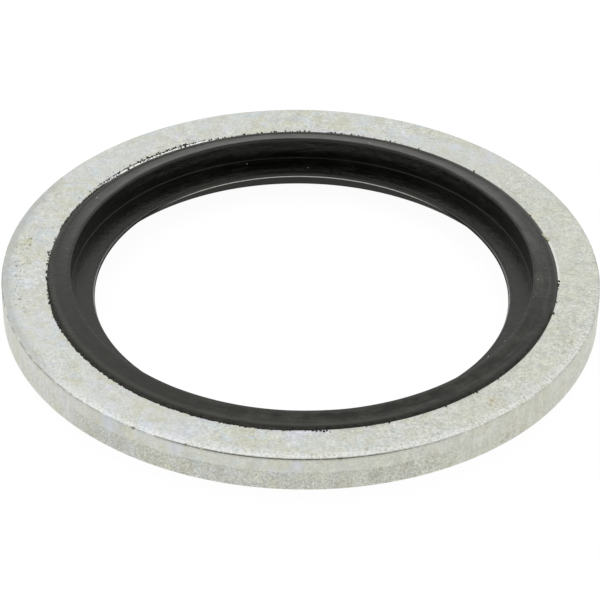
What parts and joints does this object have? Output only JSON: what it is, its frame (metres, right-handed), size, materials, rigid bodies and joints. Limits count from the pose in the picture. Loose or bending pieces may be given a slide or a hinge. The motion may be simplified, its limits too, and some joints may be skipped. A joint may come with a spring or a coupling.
{
  "type": "bonded sealing washer",
  "caption": "Flat steel ring with a black rubber lip bonded into its bore, which seals under a bolt head, and a thin rubber web that centres it on the bolt.",
  "frame": {"origin": "centre of the circle that the lower lip rests on", "axes": "+Z along the washer's axis, up; X and Y are alike, because the washer is round"},
  "size_m": [0.024, 0.024, 0.0023],
  "materials": {
    "zinc_plated_steel": "zinc plated and clear passivated over blanked steel, dull, with faint yellow and blue patches",
    "nitrile_rubber": "moulded nitrile rubber, black, satin"
  },
  "bodies": {
    "root": {"steel_ring": "zinc_plated_steel", "rubber_seal": "nitrile_rubber"}
  },
  "joints": []
}
